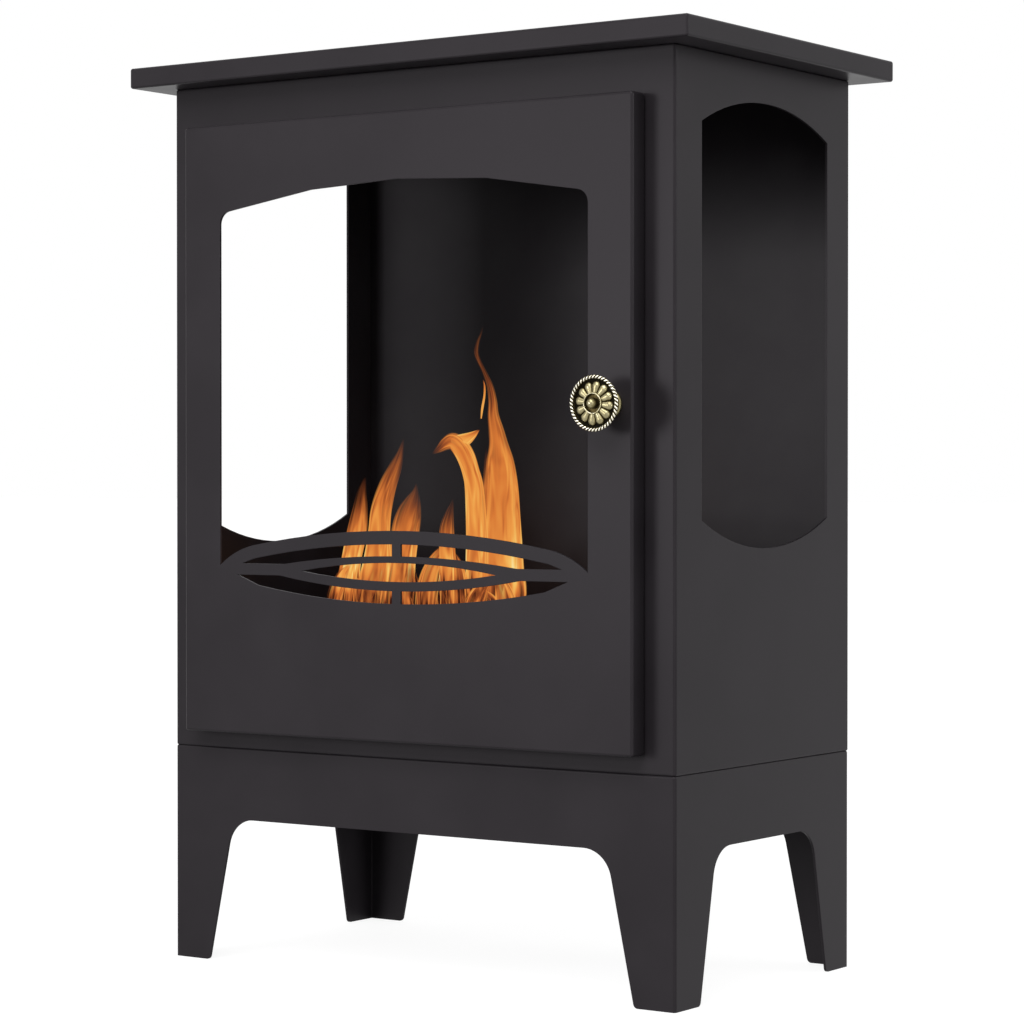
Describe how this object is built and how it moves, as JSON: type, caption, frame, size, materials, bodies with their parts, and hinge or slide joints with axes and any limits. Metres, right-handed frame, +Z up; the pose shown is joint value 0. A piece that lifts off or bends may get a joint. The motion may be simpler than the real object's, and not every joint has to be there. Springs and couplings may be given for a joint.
{
  "type": "bioethanol fireplace",
  "caption": "Sheet-steel bioethanol stove on cut-out legs, with a flat top, arched side windows, a hinged door with a lens-shaped grille and a knob, and a burner box with a sliding lid.",
  "frame": {"origin": "on the floor, under the middle of the overall box from the knob's nose to the top's rear edge", "axes": "+Z up, the door faces -Y, its hinges are at -X and its knob at +X"},
  "size_m": [0.406, 0.2562, 0.553],
  "materials": {
    "black_powder_coat": "satin",
    "stainless_steel": "brushed",
    "zinc_plated_steel": "satin",
    "antique_brass": "antique",
    "black_plastic": "matte",
    "ferrite": "matte",
    "ceramic_wool": "matte"
  },
  "bodies": {
    "cabinet": {"base_skirt": "black_powder_coat", "body_wrap": "black_powder_coat", "floor_plate": "black_powder_coat", "back_panel": "black_powder_coat", "top_plate": "black_powder_coat", "top_screws": "zinc_plated_steel", "top_nuts": "zinc_plated_steel", "base_screws": "zinc_plated_steel", "base_nuts": "zinc_plated_steel", "back_screws": "black_powder_coat", "hinge_frame_leaves": "black_powder_coat", "hinge_pins": "black_powder_coat", "hinge_frame_rivets": "black_powder_coat", "catch_housing": "black_plastic", "catch_magnet": "ferrite", "catch_rivets": "black_powder_coat", "burner_cradle": "black_powder_coat", "cradle_screws": "zinc_plated_steel", "cradle_nuts": "zinc_plated_steel"},
    "door": {"door_panel": "black_powder_coat", "hinge_door_leaves": "black_powder_coat", "hinge_door_rivets": "black_powder_coat", "strike_plate": "zinc_plated_steel", "door_knob": "antique_brass", "knob_washer": "zinc_plated_steel", "knob_screw": "zinc_plated_steel"},
    "burner": {"burner_box": "stainless_steel", "burner_cap": "stainless_steel", "wool_pad": "ceramic_wool", "lid_rails": "stainless_steel"},
    "snuffer": {"snuffer_lid": "stainless_steel"}
  },
  "joints": [
    {"name": "door_hinge", "type": "hinge", "parent": "cabinet", "child": "door", "pos_m": [-0.1668, -0.096, 0.32835], "axis": [0, 0, -1], "range_deg": [0, 110]},
    {"name": "burner_lift", "type": "slide", "parent": "cabinet", "child": "burner", "axis": [0, 0, 1], "range_m": [0, 0.06]},
    {"name": "snuffer_slide", "type": "slide", "parent": "burner", "child": "snuffer", "axis": [-1, 0, 0], "range_m": [0, 0.152]}
  ]
}
